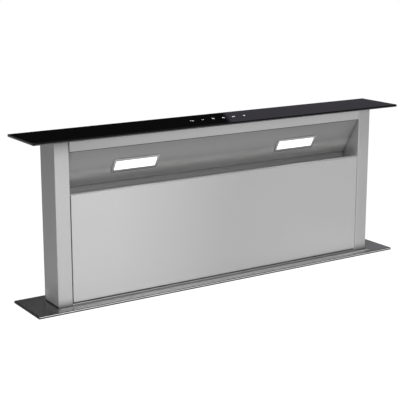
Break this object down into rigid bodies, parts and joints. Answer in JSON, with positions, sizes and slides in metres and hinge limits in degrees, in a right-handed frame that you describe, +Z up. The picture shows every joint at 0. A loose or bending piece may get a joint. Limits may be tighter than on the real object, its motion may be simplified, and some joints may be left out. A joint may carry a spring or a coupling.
{
  "type": "downdraft vent",
  "caption": "Pop-up worktop extractor with a black glass cap, lit intake recess, steel riser, lift, filters, blower and duct collar.",
  "frame": {"origin": "centre of the worktop flange, on the worktop surface that the flange rests on", "axes": "+X to the right along the width, -Y towards the cook, +Z up out of the worktop"},
  "size_m": [0.88, 0.2962, 1.0496],
  "materials": {
    "black_glass": "polished, back-painted black",
    "brushed_steel": "fine horizontal brush",
    "polished_steel": "smooth, reflective",
    "galvanised": "zinc-coated sheet with faint spangle",
    "zinc_screw": "bright zinc",
    "ground_steel": "ground and plated",
    "anodised": "satin anodised",
    "filter_mesh": "layered expanded mesh",
    "handle_wire": "bright wire",
    "white_plastic": "natural acetal",
    "black_plastic": "moulded, fine texture",
    "motor_paint": "semi-gloss black",
    "bronze": "sintered",
    "circuit_board": "solder resist",
    "lamp_lens": "diffusing, lit white",
    "seal_rubber": "matt"
  },
  "bodies": {
    "housing": {"actuator_tube": "anodised", "actuator_gearmotor": "anodised", "actuator_bracket": "motor_paint", "guide_rails": "anodised", "racks": "white_plastic", "worktop_flange": "polished_steel", "flange_seals": "seal_rubber", "housing_ends": "galvanised", "housing_front": "galvanised", "housing_rear": "galvanised", "blower_plate": "galvanised", "blanking_plate": "galvanised", "housing_floor": "galvanised", "foot_brackets": "galvanised", "worktop_clamps": "galvanised", "housing_screws": "zinc_screw", "blower_box": "galvanised", "blower_cover": "galvanised", "scroll_casing": "black_plastic", "scroll_cover": "black_plastic", "inlet_ring": "galvanised", "blower_motor": "motor_paint", "duct_flange": "galvanised", "duct_spigot": "black_plastic", "control_box": "black_plastic", "control_lid": "black_plastic", "control_board": "circuit_board", "cable_gland": "black_plastic"},
    "riser": {"glass_top": "black_glass", "glass_carrier": "galvanised", "touch_board": "circuit_board", "side_column_left": "brushed_steel", "side_column_right": "brushed_steel", "top_rail": "brushed_steel", "recess_plate": "brushed_steel", "lamp_bezels": "anodised", "lamp_lenses": "lamp_lens", "lamp_electronics": "circuit_board", "rear_panel": "brushed_steel", "front_skirt": "brushed_steel", "panel_fittings": "zinc_screw", "filter_frame_left": "anodised", "filter_frame_middle": "anodised", "filter_frame_right": "anodised", "filter_meshes": "filter_mesh", "riser_screws": "zinc_screw", "lift_crossbar": "galvanised", "actuator_rod": "ground_steel", "rod_pin": "ground_steel", "guide_shoes": "white_plastic", "shaft_bushes": "bronze"},
    "front_panel": {"front_panel": "brushed_steel"},
    "sync_shaft": {"sync_shaft": "ground_steel", "pinions": "white_plastic"},
    "filter_handle_left": {"filter_handle_left": "handle_wire"},
    "filter_handle_middle": {"filter_handle_middle": "handle_wire"},
    "filter_handle_right": {"filter_handle_right": "handle_wire"},
    "impeller": {"impeller": "black_plastic"},
    "damper_flap_front": {"damper_flap_front": "anodised"},
    "damper_flap_rear": {"damper_flap_rear": "anodised"}
  },
  "joints": [
    {"name": "riser_slide", "type": "slide", "parent": "housing", "child": "riser", "axis": [0, 0, 1], "range_m": [-0.325, 0]},
    {"name": "front_panel_tilt", "type": "hinge", "parent": "riser", "child": "front_panel", "pos_m": [0, -0.0245, 0.0155], "axis": [1, 0, 0], "range_deg": [0, 60]},
    {"name": "sync_spin", "type": "hinge", "parent": "riser", "child": "sync_shaft", "pos_m": [0, -0.014, -0.06], "axis": [1, 0, 0], "continuous": true},
    {"name": "impeller_spin", "type": "hinge", "parent": "housing", "child": "impeller", "pos_m": [-0.02, -0.135, -0.56], "axis": [0, 1, 0], "continuous": true},
    {"name": "flap_front_swing", "type": "hinge", "parent": "housing", "child": "damper_flap_front", "pos_m": [0.1755, -0.135, -0.503], "axis": [0, 0, 1], "range_deg": [0, 75], "stiffness_Nm_per_rad": 0.002, "springref_deg": -5.73},
    {"name": "flap_rear_swing", "type": "hinge", "parent": "housing", "child": "damper_flap_rear", "pos_m": [0.1755, -0.135, -0.503], "axis": [0, 0, -1], "range_deg": [0, 75], "stiffness_Nm_per_rad": 0.002, "springref_deg": -5.73},
    {"name": "filter_handle_left_swing", "type": "hinge", "parent": "riser", "child": "filter_handle_left", "pos_m": [-0.23697, 0.00471, 0.19309], "axis": [-1, 0, 0], "range_deg": [0, 80]},
    {"name": "filter_handle_middle_swing", "type": "hinge", "parent": "riser", "child": "filter_handle_middle", "pos_m": [0, 0.00471, 0.19309], "axis": [-1, 0, 0], "range_deg": [0, 80]},
    {"name": "filter_handle_right_swing", "type": "hinge", "parent": "riser", "child": "filter_handle_right", "pos_m": [0.23697, 0.00471, 0.19309], "axis": [-1, 0, 0], "range_deg": [0, 80]}
  ],
  "couplings": [
    {"joint": "sync_spin", "follows": "riser_slide", "rad_per_m": -83.333}
  ]
}
